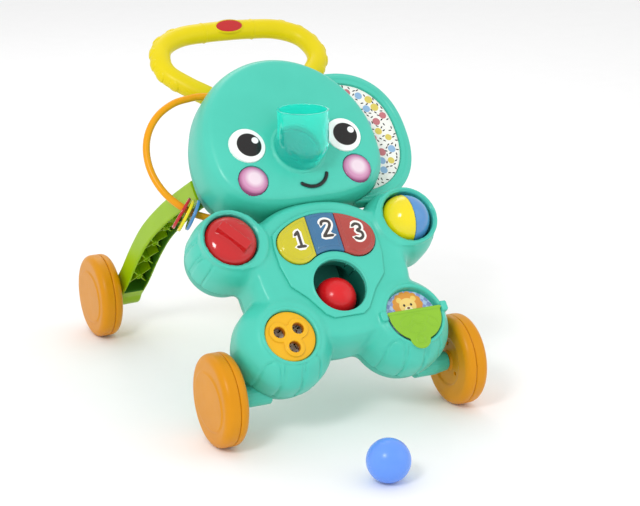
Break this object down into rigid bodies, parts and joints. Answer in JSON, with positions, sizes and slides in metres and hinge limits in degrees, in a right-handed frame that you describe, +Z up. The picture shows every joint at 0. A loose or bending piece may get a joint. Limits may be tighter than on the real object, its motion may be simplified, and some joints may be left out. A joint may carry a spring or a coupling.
{
  "type": "baby walker",
  "caption": "Four-wheeled push walker with a leaning elephant-shaped activity panel, a push handle and a ball run.",
  "frame": {"origin": "on the floor, in the middle of the overall box, the loose ball counted", "axes": "+Z up; -Y is the front, the way the panel faces; +X is the viewer's right, the side with the ear"},
  "size_m": [0.3426, 0.6812, 0.4313],
  "materials": {
    "teal_shell": "satin moulded polypropylene",
    "teal_inner": "satin moulded polypropylene",
    "clear_teal": "clear tinted, polished",
    "eye_print": "white with a printed black pupil",
    "pink_lens": "translucent pink, domed, over a light",
    "dark_inlay": "gloss black",
    "paper_label": "printed label under satin film",
    "yellow_handle": "satin moulded",
    "red_badge": "gloss, plain",
    "green_leg": "satin moulded",
    "amber_plastic": "satin moulded",
    "orange_disc": "satin moulded",
    "steel": "zinc plated",
    "key_yellow": "translucent",
    "key_blue": "translucent",
    "key_red": "translucent",
    "red_gloss": "high gloss",
    "yellow_gloss": "high gloss",
    "blue_gloss": "high gloss",
    "green_flap": "satin moulded",
    "ball_red": "satin, hollow blow-moulded look",
    "ball_blue": "satin, hollow blow-moulded look",
    "charm_blue_plastic": "satin",
    "circuit_green": "solder-mask",
    "black_plastic": "matte"
  },
  "bodies": {
    "frame": {"head_front_shell": "teal_shell", "body_front_shell": "teal_shell", "back_shell": "teal_shell", "belly_panel": "teal_shell", "ball_chute": "teal_inner", "trunk_tube": "clear_teal", "eye_left": "eye_print", "eye_right": "eye_print", "cheek_lens_left": "pink_lens", "cheek_lens_right": "pink_lens", "mouth_inlay": "dark_inlay", "ear_shell": "teal_shell", "ear_label": "paper_label", "handle": "yellow_handle", "handle_badge": "red_badge", "rear_leg_left": "green_leg", "rear_leg_right": "green_leg", "front_bracket_left": "teal_shell", "front_bracket_right": "teal_shell", "axle_front_left": "steel", "axle_front_right": "steel", "axle_rear_left": "steel", "axle_rear_right": "steel", "wire_loop": "amber_plastic", "circuit_board": "circuit_green", "speaker": "black_plastic", "battery_door": "teal_shell", "battery_door_screw": "steel", "battery_1": "black_plastic", "battery_2": "black_plastic", "spinner_label": "paper_label", "peekaboo_picture": "paper_label", "flap_pin": "steel", "roller_axle": "steel"},
    "wheel_front_left": {"wheel_cap_front_left": "amber_plastic", "wheel_back_front_left": "amber_plastic"},
    "wheel_front_right": {"wheel_cap_front_right": "amber_plastic", "wheel_back_front_right": "amber_plastic"},
    "wheel_rear_left": {"wheel_cap_rear_left": "amber_plastic", "wheel_back_rear_left": "amber_plastic"},
    "wheel_rear_right": {"wheel_cap_rear_right": "amber_plastic", "wheel_back_rear_right": "amber_plastic"},
    "key_1_body": {"key_1": "key_yellow"},
    "key_2_body": {"key_2": "key_blue"},
    "key_3_body": {"key_3": "key_red"},
    "knob_body": {"twist_knob": "red_gloss"},
    "roller_body": {"roller_half_yellow": "yellow_gloss", "roller_half_blue": "blue_gloss"},
    "spinner_body": {"spinner_disc": "orange_disc"},
    "flap_body": {"flap": "green_flap"},
    "switch_body": {"power_switch": "ball_red"},
    "red_ball_body": {"red_ball": "ball_red"},
    "blue_ball_body": {"blue_ball": "ball_blue"},
    "charm_red_body": {"charm_red": "red_gloss"},
    "charm_yellow_body": {"charm_yellow": "yellow_gloss"},
    "charm_blue_body": {"charm_blue": "charm_blue_plastic"}
  },
  "joints": [
    {"name": "wheel_front_left_spin", "type": "hinge", "parent": "frame", "child": "wheel_front_left", "pos_m": [-0.1558, -0.1387, 0.055], "axis": [1, 0, 0], "continuous": true},
    {"name": "wheel_front_right_spin", "type": "hinge", "parent": "frame", "child": "wheel_front_right", "pos_m": [0.1558, -0.1387, 0.055], "axis": [1, 0, 0], "continuous": true},
    {"name": "wheel_rear_left_spin", "type": "hinge", "parent": "frame", "child": "wheel_rear_left", "pos_m": [-0.153, 0.2852, 0.055], "axis": [1, 0, 0], "continuous": true},
    {"name": "wheel_rear_right_spin", "type": "hinge", "parent": "frame", "child": "wheel_rear_right", "pos_m": [0.153, 0.2852, 0.055], "axis": [1, 0, 0], "continuous": true},
    {"name": "key_1_press", "type": "slide", "parent": "frame", "child": "key_1_body", "axis": [0, 0.7547, -0.6561], "range_m": [0, 0.003], "stiffness_N_per_m": 600, "springref_m": -0.002},
    {"name": "key_2_press", "type": "slide", "parent": "frame", "child": "key_2_body", "axis": [0, 0.7547, -0.6561], "range_m": [0, 0.003], "stiffness_N_per_m": 600, "springref_m": -0.002},
    {"name": "key_3_press", "type": "slide", "parent": "frame", "child": "key_3_body", "axis": [0, 0.7547, -0.6561], "range_m": [0, 0.003], "stiffness_N_per_m": 600, "springref_m": -0.002},
    {"name": "knob_turn", "type": "hinge", "parent": "frame", "child": "knob_body", "pos_m": [-0.1154, -0.07653, 0.21982], "axis": [0, -0.7547, 0.6561], "continuous": true},
    {"name": "roller_spin", "type": "hinge", "parent": "frame", "child": "roller_body", "pos_m": [0.1154, -0.07502, 0.21851], "axis": [0, 0.6561, 0.7547], "continuous": true},
    {"name": "spinner_turn", "type": "hinge", "parent": "frame", "child": "spinner_body", "pos_m": [-0.0797, -0.1647, 0.12753], "axis": [0, -0.7547, 0.6561], "continuous": true},
    {"name": "flap_lift", "type": "hinge", "parent": "frame", "child": "flap_body", "pos_m": [0.08, -0.16698, 0.1368], "axis": [-1, 0, 0], "range_deg": [0, 165]},
    {"name": "switch_slide", "type": "slide", "parent": "frame", "child": "switch_body", "axis": [1, 0, 0], "range_m": [0, 0.007]},
    {"name": "red_ball_out", "type": "slide", "parent": "frame", "child": "red_ball_body", "axis": [0, -0.7547, 0.6561], "range_m": [0, 0.08]},
    {"name": "blue_ball_roll", "type": "slide", "parent": "frame", "child": "blue_ball_body", "axis": [0, -1, 0], "range_m": [-0.03, 0.2]},
    {"name": "charm_red_swing", "type": "hinge", "parent": "frame", "child": "charm_red_body", "pos_m": [-0.13471, 0.01411, 0.24177], "axis": [0.7466, -0.4364, -0.5021], "range_deg": [-30, 30]},
    {"name": "charm_yellow_swing", "type": "hinge", "parent": "frame", "child": "charm_yellow_body", "pos_m": [-0.13026, 0.01168, 0.23898], "axis": [0.7912, -0.4012, -0.4615], "range_deg": [-30, 30]},
    {"name": "charm_blue_swing", "type": "hinge", "parent": "frame", "child": "charm_blue_body", "pos_m": [-0.1247, 0.0091, 0.236], "axis": [0.8387, -0.3573, -0.411], "range_deg": [-30, 30]}
  ]
}
